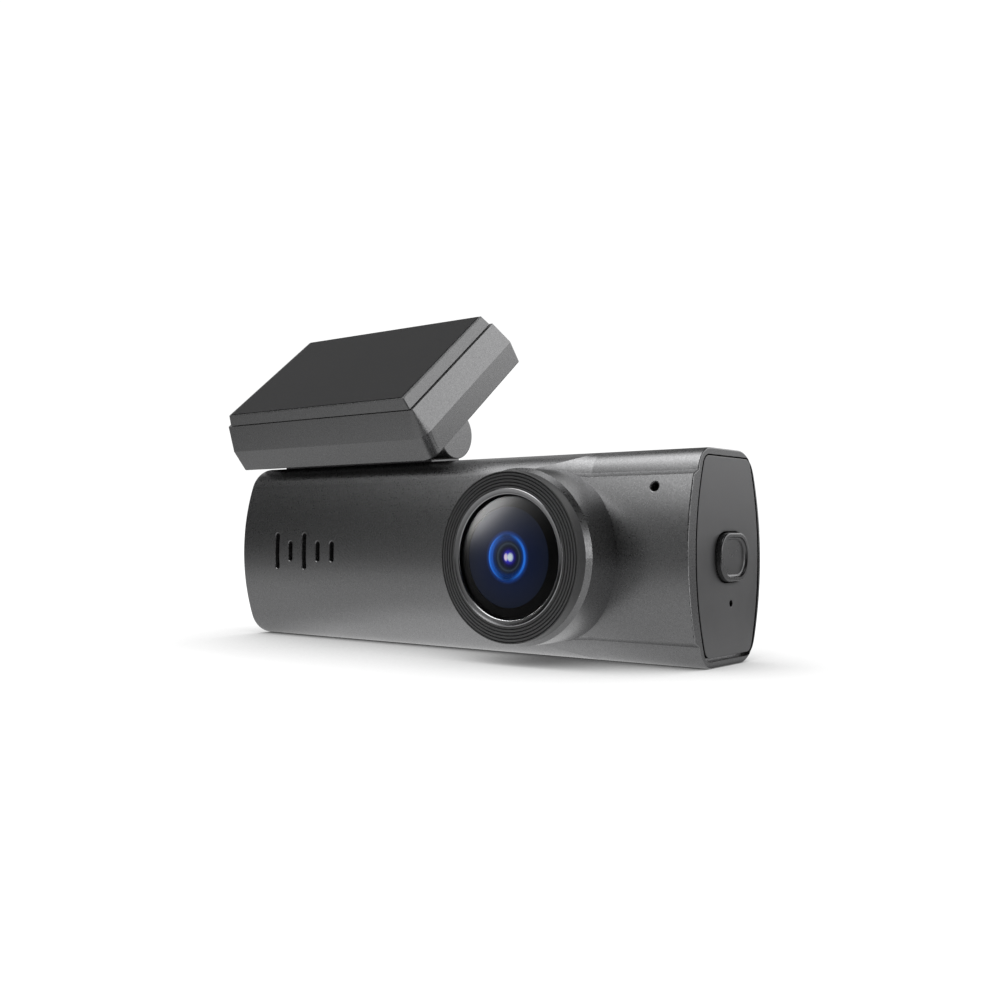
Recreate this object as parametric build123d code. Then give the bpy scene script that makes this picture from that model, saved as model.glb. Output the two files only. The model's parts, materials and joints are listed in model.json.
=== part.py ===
from build123d import *
import os
from math import cos, radians, sin

# A windscreen dash camera: a bowed tube-like body with a lens barrel on its front, and a tilting
# adhesive bracket hinged to its top.
#
# Frame, in millimetres: X runs along the body, towards the button end. The lens looks along -Y.
# Z is up. The origin is the centre of the body's flat underside.

# ------------------------------------------------------------------ driving dimensions

# Body
LENGTH = 96.0
HEIGHT = 31.6
HALF_DEPTH = 11.3          # at mid-height
BOW_RADIUS = 37.3          # the front and the back are shallow arcs
CORNER_RADIUS = 5.3
WALL = 1.8
PARTING_Y = 6.0            # the back cover starts here
LIP = 1.5                  # how far the back cover's lip reaches into the front shell
CAP = 1.6                  # left end cap
FRAME = 1.2                # right end frame

# Shallow rebates along the front's two long edges, right of the lens
REBATE_TOP_Y = -4.3        # where the rebate leaves the flat top
REBATE_INNER = (-8.1, 12.5)
REBATE_SLOPE = 0.52        # fall of the ledge for each millimetre outwards
REBATE_START = 8.0         # the rebate deepens evenly from here, along this run
REBATE_RUN = 22.0
REBATE_DEPTH = 1.7         # at the end of that run, square to the rounded edge

# Lens
LENS_X = 23.2
BARREL_RADIUS = 13.14
BARREL_SHOULDER = 17.4     # distances along the lens axis are from the body's middle plane
RING_BACK = 18.3
RING_FACE = 20.25
RING_RADIUS = 12.6
RING_BORE = 10.1
BEZEL_BORE = 9.15
SPIGOT_RADIUS = 11.6
TUBE_RADIUS = 7.0
HEAD_RADIUS = 7.7
GLASS_RADIUS = 9.1

# Front openings
VENT_X = -38.05
VENT_PITCH = 3.65
VENT_WIDTH = 1.1
VENT_LONG = 6.5
VENT_SHORT = 3.6
VENT_PATTERN = (VENT_LONG, VENT_SHORT, VENT_LONG, VENT_SHORT, VENT_SHORT)
MIC_X = 41.9
MIC_RISE = 10.1            # above mid-height
MIC_RADIUS = 0.65

# Button end
PANEL_FRONT = -8.75
PANEL_BACK = 10.3
PANEL_HEIGHT = 28.9
PANEL_BOW = 41.0
PANEL_CORNER = 1.6
PANEL_GAP = 0.38
PANEL_LIFT = 0.18          # the panel sits a little high in its opening
BUTTON_Y = 1.3
BUTTON_WIDTH = 8.8
BUTTON_HEIGHT = 7.1
BUTTON_CORNER = 2.9
BUTTON_PROUD = 0.9
BUTTON_GAP = 0.15
BUTTON_RIM = 0.6           # width of the flat band round the dished top
BUTTON_DISH = 0.5
LIGHT_Y = 1.5
LIGHT_DROP = 6.8           # below mid-height
LIGHT_RADIUS = 0.45

# Hinge and bracket
HINGE_Y = -3.9
HINGE_Z = 36.0
KNUCKLE_RADIUS = 4.1
PIN_RADIUS = 1.5
RUNNING_CLEARANCE = 0.05
TILT = 39.4                # of the bracket, in degrees, as stored
BRACKET_X = -24.84         # middle of the bracket along the body
PAD_AHEAD = 7.65           # pad centre from the hinge axis, along the bracket's slope
PAD_ABOVE = 11.39          # pad face from the hinge axis, square to the slope
LUG = 5.0
WASHER = 0.4

# Electronics
BOARD = 1.2
BOARD_LEFT = -43.0
BOARD_RIGHT = 40.4
BOARD_HEIGHT = 24.6
POST_XS = (-16.0, 37.0)
POST_RISE = 10.6
POST_RADIUS = 2.2
SCREW_RADIUS = 0.8
THREAD_GAP = 0.02

# Broken edges
SEAM_CHAMFER = 0.15
MOUTH_ROUND = 0.18
RIM_ROUND = 0.2
PANEL_ROUND = 0.12
LUG_ROUND = 0.2
BRACKET_ROUND = 0.25
PLATE_ROUND = 0.1

# ------------------------------------------------------------------ derived sizes

MID_Z = HEIGHT / 2
LEFT = -LENGTH / 2
RIGHT = LENGTH / 2
SHELL_LEFT = LEFT + CAP
SHELL_RIGHT = RIGHT - FRAME
SLOPE = radians(TILT)
LENS_FRAME = Plane(origin=(LENS_X, 0, MID_Z), x_dir=(1, 0, 0), z_dir=(0, -1, 0))
PAD_CENTRE = (
    BRACKET_X,
    HINGE_Y + PAD_AHEAD * cos(SLOPE) - PAD_ABOVE * sin(SLOPE),
    HINGE_Z + PAD_AHEAD * sin(SLOPE) + PAD_ABOVE * cos(SLOPE),
)
PAD_AXIS = Axis(PAD_CENTRE, (0, -sin(SLOPE), cos(SLOPE)))
PAD_FRAME = Plane(origin=PAD_CENTRE, x_dir=(1, 0, 0), z_dir=PAD_AXIS.direction)

# The bracket's layers: width along X, depth along the slope, distance below the pad face
PAD_SIZE = (44.0, 25.6, 0.0)
PLATE_TOP = (45.2, 26.1, 0.1)
PLATE_BOTTOM = (46.4, 27.0, 2.05)
BLOCK_TOP = (47.6, 27.4, 2.15)
BLOCK_CREASE = (49.3, 30.2, 6.9)
BLOCK_BOTTOM = (48.8, 30.6, 11.29)
LUG_RIGHT = BRACKET_X + BLOCK_BOTTOM[0] / 2
LUG_LEFT = BRACKET_X - BLOCK_BOTTOM[0] / 2
KNUCKLE_LEFT = LUG_LEFT + LUG + WASHER + RUNNING_CLEARANCE
KNUCKLE_RIGHT = LUG_RIGHT - LUG - WASHER - RUNNING_CLEARANCE


# ------------------------------------------------------------------ helpers

def span_box(x, y, z):
    """A box given by its low and high limit on each axis."""
    sizes = [high - low for low, high in (x, y, z)]
    middles = [(high + low) / 2 for low, high in (x, y, z)]
    return Pos(*middles) * Box(*sizes)


def along_x(sketch, start, stop):
    """Extrude a sketch of the body's cross-section between two stations along the body."""
    plane = Plane(origin=(start, 0, MID_Z), x_dir=(0, 1, 0), z_dir=(1, 0, 0))
    return extrude(plane * sketch, amount=stop - start)


def along_y(sketch, x, rise, start, stop):
    """Extrude a sketch, seen from the front and centred at x and above mid-height, along Y."""
    plane = Plane(origin=(x, stop, MID_Z + rise), x_dir=(1, 0, 0), z_dir=(0, -1, 0))
    return extrude(plane * sketch, amount=stop - start)


def rod_x(radius, start, stop, y, z):
    """A cylinder along X."""
    plane = Plane(origin=(start, y, z), x_dir=(0, 1, 0), z_dir=(1, 0, 0))
    return extrude(plane * Circle(radius), amount=stop - start)


def rod_z(radius, x, y, start, stop):
    """A cylinder along Z."""
    return Pos(x, y, (start + stop) / 2) * Cylinder(radius, stop - start)


def lathe(points):
    """Turn a profile of (radius, distance along the lens axis) points about the lens axis."""
    profile = Plane.XZ * make_face(Polyline(*points, close=True))
    return LENS_FRAME * revolve(profile, axis=Axis.Z)


def dome(edge_radius, rise, thickness, edge):
    """A meniscus of even thickness whose front edge is at the given distance."""
    radius = (edge_radius ** 2 + rise ** 2) / (2 * rise)
    shell = Pos(0, 0, edge + rise - radius) * (Sphere(radius) - Sphere(radius - thickness))
    blank = Pos(0, 0, edge + rise / 2 - thickness / 2) * Cylinder(edge_radius, rise + thickness)
    return LENS_FRAME * (shell & blank)


def plano_convex(edge_radius, rise, thickness, back):
    """A lens with a flat back and one bowed face."""
    radius = (edge_radius ** 2 + rise ** 2) / (2 * rise)
    height = thickness + rise
    ball = Pos(0, 0, back + height - radius) * Sphere(radius)
    blank = Pos(0, 0, back + height / 2) * Cylinder(edge_radius, height)
    return LENS_FRAME * (ball & blank)


def bowed_outline(front, back, height, bow, corner):
    """Two facing arcs cut off by a flat top and bottom, with rounded corners."""
    front_arc = Pos(front + bow, 0) * Circle(bow)
    back_arc = Pos(back - bow, 0) * Circle(bow)
    shape = front_arc & back_arc & Rectangle(4 * bow, height)
    return fillet(shape.vertices(), corner)


def body_outline(inset=0.0):
    """The body's cross-section, shrunk evenly by inset."""
    half = HALF_DEPTH - inset
    return bowed_outline(-half, half, HEIGHT - 2 * inset, BOW_RADIUS - inset, CORNER_RADIUS - inset)


def panel_outline(grow=0.0):
    """The inset end panel's outline."""
    return bowed_outline(
        PANEL_FRONT - grow, PANEL_BACK + grow, PANEL_HEIGHT + 2 * grow, PANEL_BOW + grow,
        PANEL_CORNER + grow)


def layer(size, corner, near_corner):
    """One level of the bracket's stack. The front corner on the lens's side has its own radius."""
    width, depth, drop = size
    near_point = Vector(width / 2, -depth / 2)
    outline = fillet(Rectangle(width, depth).vertices().sort_by_distance(near_point)[1:], corner)
    outline = fillet(outline.vertices().sort_by_distance(near_point)[0], near_corner)
    return (PAD_FRAME.offset(-drop) * outline).face()


def screw_z(x, y, head_z, tip_z, head_radius=1.4, head_height=0.9):
    """A screw that points up, with its head's top face at head_z."""
    head = rod_z(head_radius, x, y, head_z - head_height, head_z)
    return head + rod_z(SCREW_RADIUS, x, y, head_z, tip_z)


# ------------------------------------------------------------------ housing

def front_rebates():
    """Cutters for the ledges along the front's top and bottom edges, which fade in beside the lens."""
    clear = 1.0
    start = (REBATE_TOP_Y, MID_Z + 0.03)
    outer_y = -HALF_DEPTH - clear
    outer_z = REBATE_INNER[1] - REBATE_SLOPE * (REBATE_INNER[0] - outer_y)
    corner = TangentArc(start, REBATE_INNER, tangent=(-1, 0))
    rest = Polyline(
        REBATE_INNER, (outer_y, outer_z), (outer_y, MID_Z + clear), (REBATE_TOP_Y, MID_Z + clear), start
    )
    section = make_face([corner, rest])
    outwards = REBATE_DEPTH * cos(radians(45))
    stations = []
    for x, shift in ((REBATE_START, outwards), (REBATE_START + REBATE_RUN, 0)):
        plane = Plane(origin=(x, -shift, MID_Z + shift), x_dir=(0, 1, 0), z_dir=(1, 0, 0))
        stations.append((plane * section).face())
    upper = loft(stations, ruled=True) + along_x(section, REBATE_START + REBATE_RUN, RIGHT + clear)
    return [upper, mirror(upper, about=Plane.XY.offset(MID_Z))]


def outer_form(start, stop):
    """The body's solid outer shape between two stations."""
    form = along_x(body_outline(), start, stop)
    for rebate in front_rebates():
        form -= rebate
    return form


def vents():
    """Cutters for the speaker's row of upright slots."""
    cutters = []
    for index, length in enumerate(VENT_PATTERN):
        slot = SlotOverall(length, VENT_WIDTH, rotation=90)
        x = VENT_X + index * VENT_PITCH
        cutters.append(along_y(slot, x, 0.15, -HALF_DEPTH - 1, -HALF_DEPTH + WALL + 1))
    return cutters


def mouth_edges(shell):
    """The edges where the slots and the microphone hole break through the front's skin."""
    edges = []
    for edge in shell.edges():
        box = edge.bounding_box()
        is_small = box.size.X < 2 and box.size.Y < 0.5 and box.size.Z < VENT_LONG
        if is_small and box.max.Y < -HALF_DEPTH + 1.6:
            edges.append(edge)
    return edges


def seam_edges(shell):
    """The long outer edges on the plane where the front shell and the back cover meet."""
    lengthwise = shell.edges().filter_by(Axis.X).filter_by_position(Axis.Y, PARTING_Y, PARTING_Y)
    return [edge for edge in lengthwise if abs(edge.center().Z - MID_Z) > HEIGHT / 2 - WALL / 2]


def board_post(x, rise):
    """A post on the front shell's inside that the main board is screwed to."""
    return along_y(Circle(POST_RADIUS), x, rise, -8.3, 0.0)


def front_shell():
    solid = along_x(body_outline(), SHELL_LEFT, SHELL_RIGHT)
    hollow = along_x(body_outline(WALL), SHELL_LEFT - 1, SHELL_RIGHT + 1)
    lip_seat = along_x(body_outline(WALL / 2), SHELL_LEFT - 1, SHELL_RIGHT + 1)
    everything = (LEFT - 1, RIGHT + 1)
    behind = span_box(everything, (PARTING_Y, HALF_DEPTH + 1), (-1, HEIGHT + 1))
    lip_zone = span_box(everything, (PARTING_Y - LIP - 0.1, PARTING_Y + 1), (-1, HEIGHT + 1))
    shell = solid - hollow - behind - (lip_seat & lip_zone)
    for x in POST_XS:
        for rise in (-POST_RISE, POST_RISE):
            post = board_post(x, rise)
            pilot = along_y(Circle(SCREW_RADIUS + THREAD_GAP), x, rise, -5.2, 1.0)
            shell = shell + post - pilot
    for rebate in front_rebates():
        shell -= rebate
    for slot in vents():
        shell -= slot
    shell -= along_y(Circle(MIC_RADIUS), MIC_X, MIC_RISE, -HALF_DEPTH - 1, -6.0)
    shell -= along_y(Circle(SPIGOT_RADIUS + THREAD_GAP), LENS_X, 0, -HALF_DEPTH - 1, -5.0)
    for x in SADDLE_SCREW_XS:
        shell -= rod_z(SCREW_RADIUS + THREAD_GAP, x, SADDLE_SCREW_Y, HEIGHT - WALL - 1, HEIGHT + 1)
    shell = chamfer(seam_edges(shell), SEAM_CHAMFER)
    return fillet(mouth_edges(shell), MOUTH_ROUND)


def back_cover():
    solid = along_x(body_outline(), SHELL_LEFT, SHELL_RIGHT)
    hollow = along_x(body_outline(WALL), SHELL_LEFT - 1, SHELL_RIGHT + 1)
    ahead = span_box((LEFT - 1, RIGHT + 1), (-HALF_DEPTH - 1, PARTING_Y), (-1, HEIGHT + 1))
    lip_solid = along_x(body_outline(WALL / 2 + 0.05), SHELL_LEFT, SHELL_RIGHT)
    lip_zone = span_box((LEFT, RIGHT), (PARTING_Y - LIP, PARTING_Y + 0.5), (0, HEIGHT))
    cover = (solid - hollow - ahead) + ((lip_solid - hollow) & lip_zone)
    return chamfer(seam_edges(cover), SEAM_CHAMFER)


def left_end_cap():
    plate = along_x(body_outline(), LEFT, SHELL_LEFT)
    plate = fillet(plate.faces().sort_by(Axis.X)[0].edges(), 0.6)
    rib_outside = along_x(body_outline(WALL + 0.05), SHELL_LEFT, SHELL_LEFT + 2.0)
    rib = rib_outside - along_x(body_outline(WALL + 1.2), SHELL_LEFT - 1, SHELL_LEFT + 3)
    usb = along_x(Pos(USB_Y, USB_RISE) * SlotOverall(USB_WIDTH + 0.5, USB_DEPTH + 0.5, rotation=90),
                  LEFT - 1, SHELL_LEFT + 1)
    card = along_x(Pos(CARD_Y, CARD_RISE) * Rectangle(1.4, 12.0), LEFT - 1, SHELL_LEFT + 1)
    cap = plate + rib - usb - card
    return fillet(cap.faces().sort_by(Axis.X)[0].inner_wires().edges(), MOUTH_ROUND)


def right_end_frame():
    rim = outer_form(SHELL_RIGHT, RIGHT)
    rim = fillet(rim.faces().sort_by(Axis.X)[-1].edges(), RIM_ROUND)
    rim -= along_x(panel_outline(PANEL_GAP), SHELL_RIGHT - 1, RIGHT + 1)
    ledge = along_x(body_outline(WALL + 0.05), SHELL_RIGHT - 2.4, SHELL_RIGHT)
    ledge -= along_x(body_outline(WALL + 1.7), SHELL_RIGHT - 3, SHELL_RIGHT + 1)
    return rim + ledge


def right_end_panel():
    panel = along_x(Pos(0, PANEL_LIFT) * panel_outline(), SHELL_RIGHT, RIGHT)
    window = Pos(BUTTON_Y, 0) * RectangleRounded(
        BUTTON_WIDTH + 2 * BUTTON_GAP, BUTTON_HEIGHT + 2 * BUTTON_GAP, BUTTON_CORNER + BUTTON_GAP
    )
    panel -= along_x(window, SHELL_RIGHT - 1, RIGHT + 1)
    panel -= along_x(Pos(LIGHT_Y, -LIGHT_DROP) * Circle(LIGHT_RADIUS + THREAD_GAP),
                     SHELL_RIGHT - 1, RIGHT + 1)
    return fillet(panel.faces().sort_by(Axis.X)[-1].edges(), PANEL_ROUND)


# ------------------------------------------------------------------ side button and its board

SIDE_BOARD_X = 41.4
FLANGE_BACK = 44.9
FLANGE = 0.9
SWITCH_FACE = 44.2
PLUNGER_REACH = 0.55       # leaves room in the switch for the button's travel


def side_button():
    """A cap with a narrow rim round its dished top, on a flange that keeps it in the panel."""
    top = RIGHT + BUTTON_PROUD
    outline = Pos(BUTTON_Y, 0) * RectangleRounded(BUTTON_WIDTH, BUTTON_HEIGHT, BUTTON_CORNER)
    cap = along_x(outline, FLANGE_BACK, top)
    cap = fillet(cap.faces().sort_by(Axis.X)[-1].edges(), 0.25)
    inset = BUTTON_RIM
    dish_outline = Pos(BUTTON_Y, 0) * RectangleRounded(
        BUTTON_WIDTH - 2 * inset, BUTTON_HEIGHT - 2 * inset, BUTTON_CORNER - inset / 2)
    dish = along_x(dish_outline, top - BUTTON_DISH, top + 1)
    dish = fillet(dish.faces().sort_by(Axis.X)[0].edges(), BUTTON_DISH * 0.9)
    cap -= dish
    flange = Pos(BUTTON_Y, 0) * RectangleRounded(
        BUTTON_WIDTH + 1.6, BUTTON_HEIGHT + 1.6, BUTTON_CORNER + 0.8)
    return cap + along_x(flange, FLANGE_BACK, FLANGE_BACK + FLANGE)


def switch_plunger():
    return rod_x(1.5, SWITCH_FACE - PLUNGER_REACH, FLANGE_BACK, BUTTON_Y, MID_Z)


def button_switch():
    case = span_box((SIDE_BOARD_X + BOARD, SWITCH_FACE), (BUTTON_Y - 3, BUTTON_Y + 3), (MID_Z - 3, MID_Z + 3))
    return case - rod_x(1.7, SIDE_BOARD_X + BOARD + 0.4, SWITCH_FACE + 1, BUTTON_Y, MID_Z)


def side_board():
    return span_box((SIDE_BOARD_X, SIDE_BOARD_X + BOARD), (-3.4, 6.6), (MID_Z - 11, MID_Z + 11))


def status_led():
    z = MID_Z - LIGHT_DROP
    face_x = SIDE_BOARD_X + BOARD
    return span_box((face_x, face_x + 0.7), (LIGHT_Y - 0.6, LIGHT_Y + 0.6), (z - 0.8, z + 0.8))


def light_guide():
    z = MID_Z - LIGHT_DROP
    foot = rod_x(0.9, SIDE_BOARD_X + BOARD + 0.7, FLANGE_BACK - 0.4, LIGHT_Y, z)
    return foot + rod_x(LIGHT_RADIUS, FLANGE_BACK - 0.4, RIGHT - 0.5, LIGHT_Y, z)


# ------------------------------------------------------------------ lens

def lens_barrel():
    back = 8.0
    lip = RING_BACK - 1.0
    collar = lathe([
        (SPIGOT_RADIUS - 1, 0), (BARREL_RADIUS, 0), (BARREL_RADIUS, BARREL_SHOULDER),
        (RING_RADIUS, RING_BACK), (SPIGOT_RADIUS - 1, RING_BACK),
    ])
    collar -= outer_form(SHELL_LEFT, SHELL_RIGHT)
    spigot = lathe([
        (9.6, back), (SPIGOT_RADIUS, back), (SPIGOT_RADIUS, RING_BACK),
        (8.2, RING_BACK), (8.2, lip), (9.6, lip),
    ])
    return collar + spigot


def lens_front_ring():
    """The ring with concentric grooves cut in its face."""
    grooves = 5
    pitch = 0.47
    depth = 0.22
    first = RING_BORE + 0.22
    points = [(RING_BORE, RING_BACK), (RING_RADIUS, RING_BACK), (RING_RADIUS, RING_FACE - 0.12),
              (RING_RADIUS - 0.12, RING_FACE)]
    for index in reversed(range(grooves)):
        radius = first + index * pitch
        points += [(radius + 0.2, RING_FACE), (radius + 0.14, RING_FACE - depth),
                   (radius + 0.06, RING_FACE - depth), (radius, RING_FACE)]
    points.append((RING_BORE, RING_FACE))
    return lathe(points)


def lens_bezel():
    """The polished ring round the glass, with a bevel on each side of its crest."""
    return lathe([
        (BEZEL_BORE, RING_BACK), (RING_BORE - THREAD_GAP, RING_BACK), (RING_BORE - THREAD_GAP, RING_FACE),
        (RING_BORE - 0.3, RING_FACE + 0.2), (RING_BORE - 0.6, RING_FACE + 0.15),
        (BEZEL_BORE, RING_FACE - 0.3),
    ])


def cover_glass():
    return dome(GLASS_RADIUS, 1.5, 1.0, 19.6)


def lens_mask():
    """The black ring that carries the glass and frames the lens."""
    return lathe([(HEAD_RADIUS + 0.1, RING_BACK), (GLASS_RADIUS, RING_BACK), (GLASS_RADIUS, 18.58),
                  (GLASS_RADIUS - 0.2, 18.56), (HEAD_RADIUS + 0.1, 18.85)])


def lens_tube():
    return lathe([(5.2, 6.0), (TUBE_RADIUS, 6.0), (TUBE_RADIUS, 15.6), (HEAD_RADIUS, 16.2),
                  (HEAD_RADIUS, 18.7), (7.2, 18.7), (7.2, 16.5), (5.2, 16.5)])


def front_element():
    return dome(7.15, 1.8, 1.4, 18.0)


def inner_element():
    return plano_convex(4.9, 1.5, 1.0, 13.0)


def aperture_ring():
    return lathe([(2.2, 12.0), (5.18, 12.0), (5.18, 12.6), (2.2, 12.6)])


def rear_element():
    return plano_convex(4.6, 1.3, 1.0, 7.2)


def lens_holder():
    foot = span_box((LENS_X - 9, LENS_X + 9), (-5.2, -3.0), (MID_Z - 9, MID_Z + 9))
    tube = lathe([(TUBE_RADIUS + THREAD_GAP, 5.2), (8.6, 5.2), (8.6, 13.0), (TUBE_RADIUS + THREAD_GAP, 13.0)])
    window = span_box((LENS_X - 5.5, LENS_X + 5.5), (-6, -2), (MID_Z - 4.5, MID_Z + 4.5))
    return foot + tube - window


def image_sensor():
    return span_box((LENS_X - 4.6, LENS_X + 4.6), (-4.0, -3.0), (MID_Z - 3.6, MID_Z + 3.6))


def sensor_board():
    return span_box((LENS_X - 10, LENS_X + 10), (-3.0, -2.0), (MID_Z - 10, MID_Z + 10))


def board_connector():
    return span_box((LENS_X - 6, LENS_X + 6), (-2.0, 0.0), (MID_Z - 2, MID_Z + 2))


# ------------------------------------------------------------------ electronics

USB_WIDTH = 8.94
USB_DEPTH = 3.16
USB_Y = -USB_DEPTH / 2
USB_RISE = -5.6
CARD_DEPTH = 1.5
CARD_Y = -CARD_DEPTH / 2
CARD_RISE = 5.9


def main_board():
    half = BOARD_HEIGHT / 2
    board = span_box((BOARD_LEFT, BOARD_RIGHT), (0, BOARD), (MID_Z - half, MID_Z + half))
    for x in POST_XS:
        for rise in (-POST_RISE, POST_RISE):
            board -= along_y(Circle(SCREW_RADIUS + 0.2), x, rise, -1, BOARD + 1)
    return board


def board_screws():
    screws = []
    for x in POST_XS:
        for rise in (-POST_RISE, POST_RISE):
            head = along_y(Circle(1.6), x, rise, BOARD, BOARD + 0.9)
            screws.append(head + along_y(Circle(SCREW_RADIUS), x, rise, -5.0, BOARD))
    return Compound(children=screws)


def shield_can():
    return span_box((2, 24), (BOARD, BOARD + 1.8), (MID_Z - 9, MID_Z + 9))


def heat_spreader():
    return span_box((0, 34), (BOARD + 2.0, BOARD + 4.0), (MID_Z - 9.5, MID_Z + 9.5))


def backup_cell():
    cell = span_box((-37, -8), (BOARD + 1.2, BOARD + 6.4), (MID_Z - 9.5, MID_Z + 9.5))
    return fillet(cell.edges().filter_by(Axis.X), 1.2)


def usb_socket():
    outside = Pos(USB_Y, USB_RISE) * SlotOverall(USB_WIDTH, USB_DEPTH, rotation=90)
    inside = Pos(USB_Y, USB_RISE) * SlotOverall(USB_WIDTH - 0.6, USB_DEPTH - 0.6, rotation=90)
    tongue = Pos(USB_Y, USB_RISE) * Rectangle(0.7, 6.7)
    shell = along_x(outside, LEFT + 0.3, BOARD_LEFT + 3) - along_x(inside, LEFT - 1, BOARD_LEFT + 2.4)
    return shell + along_x(tongue, LEFT + 1.2, BOARD_LEFT + 2.6)


def card_socket():
    body = along_x(Pos(CARD_Y, CARD_RISE) * Rectangle(CARD_DEPTH, 12.6), SHELL_LEFT + 0.2, SHELL_LEFT + 15)
    return body - along_x(Pos(CARD_Y, CARD_RISE) * Rectangle(0.9, 11.2), SHELL_LEFT - 1, SHELL_LEFT + 14)


def speaker():
    x = VENT_X + 2 * VENT_PITCH
    frame = along_y(Circle(8.8), x, 0, -7.9, -4.4)
    cone = along_y(Circle(7.2), x, 0, -9.0, -7.3)
    magnet = along_y(Circle(5.0), x, 0, -4.4, -2.6)
    return frame - cone + magnet


def speaker_mesh():
    x = VENT_X + 2 * VENT_PITCH
    return span_box((x - 9, x + 9), (-9.15, -8.95), (MID_Z - 4.2, MID_Z + 4.2))


def mic_boot():
    boot = along_y(Circle(2.5), MIC_X, MIC_RISE, -6.6, -4.2)
    return boot - along_y(Circle(1.9), MIC_X, MIC_RISE, -6.0, -4.0) - along_y(
        Circle(MIC_RADIUS), MIC_X, MIC_RISE, -7.0, -5.0)


def microphone():
    return along_y(Circle(1.85), MIC_X, MIC_RISE, -6.0, -4.4)


def antenna():
    return span_box((4, 24), (-3, 3), (HEIGHT - WALL - 0.35, HEIGHT - WALL - 0.05))


# ------------------------------------------------------------------ hinge, on the body's side

SADDLE_SCREW_XS = (-38.0, BRACKET_X, -11.7)
SADDLE_SCREW_Y = -2.9


def hinge_saddle():
    """The foot on the body's flat top and the long knuckle that the bracket's pin runs through."""
    foot_top = HEIGHT + 1.0
    foot = span_box((KNUCKLE_LEFT, KNUCKLE_RIGHT), (-4.2, 3.0), (HEIGHT, foot_top))
    web = span_box((KNUCKLE_LEFT, KNUCKLE_RIGHT), (HINGE_Y - 2.6, HINGE_Y + 2.6), (foot_top - 0.5, HINGE_Z))
    web_outside = span_box((LEFT, RIGHT), (-HALF_DEPTH, -4.2), (0, HEIGHT + 0.3))
    saddle = foot + web - web_outside
    saddle += rod_x(KNUCKLE_RADIUS, KNUCKLE_LEFT, KNUCKLE_RIGHT, HINGE_Y, HINGE_Z)
    saddle -= rod_x(PIN_RADIUS + RUNNING_CLEARANCE, LEFT - 2, RIGHT, HINGE_Y, HINGE_Z)
    for x in SADDLE_SCREW_XS:
        saddle -= rod_z(SCREW_RADIUS + THREAD_GAP, x, SADDLE_SCREW_Y, HEIGHT - 1, 33.9)
    return saddle


def saddle_screws():
    screws = [screw_z(x, SADDLE_SCREW_Y, HEIGHT - WALL, 33.8) for x in SADDLE_SCREW_XS]
    return Compound(children=screws)


# ------------------------------------------------------------------ bracket

PIN_HEAD_RADIUS = 2.6
PIN_HEAD = 1.6
PIN_SEAT = LUG_LEFT + 2.6
PIN_TIP = LUG_RIGHT - 1.8
INSERT_RADIUS = 2.4
PLATE_SCREW_X = 18.5
PLATE_SCREW_Y = 9.0


def lug(start):
    """One of the bracket's two ears, with rounded rims."""
    ear = rod_x(KNUCKLE_RADIUS, start, start + LUG, HINGE_Y, HINGE_Z)
    return fillet(ear.edges().filter_by(GeomType.CIRCLE), LUG_ROUND)


def bracket_block():
    """The hollow block with a lug at each end and a trough for the body's knuckle between them."""
    upper = loft([layer(BLOCK_TOP, 0.3, 0.4), layer(BLOCK_CREASE, 0.4, 2.4)])
    lower = loft([layer(BLOCK_CREASE, 0.4, 2.4), layer(BLOCK_BOTTOM, 0.4, 2.4)])
    lower = fillet(lower.faces().sort_by(PAD_AXIS)[0].edges(), BRACKET_ROUND)
    block = upper + lower
    floor = BLOCK_BOTTOM[2] - 1.8
    cavity_depth = floor - BLOCK_TOP[2] + 1
    cavity = PAD_FRAME * Pos(0, 0, -floor + cavity_depth / 2) * Box(
        BLOCK_TOP[0] - 4.0, BLOCK_TOP[1] - 4.0, cavity_depth)
    guard = rod_x(KNUCKLE_RADIUS + 2.0, LUG_LEFT - 1, LUG_RIGHT + 1, HINGE_Y, HINGE_Z)
    block -= cavity - guard
    for x in (-PLATE_SCREW_X, PLATE_SCREW_X):
        for y in (-PLATE_SCREW_Y, PLATE_SCREW_Y):
            post_height = BLOCK_BOTTOM[2] - BLOCK_TOP[2] - 1.0
            post_middle = -BLOCK_TOP[2] - post_height / 2
            block += PAD_FRAME * Pos(x, y, post_middle) * Cylinder(2.4, post_height)
    trough = rod_x(KNUCKLE_RADIUS + 0.4, LUG_LEFT + LUG, LUG_RIGHT - LUG, HINGE_Y, HINGE_Z)
    block -= trough
    for start in (LUG_LEFT, LUG_RIGHT - LUG):
        block += lug(start)
    for x in (-PLATE_SCREW_X, PLATE_SCREW_X):
        for y in (-PLATE_SCREW_Y, PLATE_SCREW_Y):
            block -= PAD_FRAME * Pos(x, y, -BLOCK_TOP[2] - 1.5) * Cylinder(SCREW_RADIUS + THREAD_GAP, 5.0)
    block -= rod_x(PIN_RADIUS + THREAD_GAP, LUG_LEFT + 1, LUG_LEFT + LUG + 1, HINGE_Y, HINGE_Z)
    block -= rod_x(PIN_HEAD_RADIUS + THREAD_GAP, LUG_LEFT - 1, PIN_SEAT, HINGE_Y, HINGE_Z)
    return block - rod_x(INSERT_RADIUS + THREAD_GAP, LUG_RIGHT - LUG - 1, PIN_TIP, HINGE_Y, HINGE_Z)


def hinge_pin():
    """A headed pin, put in from the left lug and held by the insert in the right one."""
    head = rod_x(PIN_HEAD_RADIUS, PIN_SEAT - PIN_HEAD, PIN_SEAT, HINGE_Y, HINGE_Z)
    slot = rod_x(1.0, PIN_SEAT - PIN_HEAD - 1, PIN_SEAT - PIN_HEAD + 0.8, HINGE_Y, HINGE_Z)
    return head + rod_x(PIN_RADIUS, PIN_SEAT, PIN_TIP - 0.2, HINGE_Y, HINGE_Z) - slot


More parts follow.
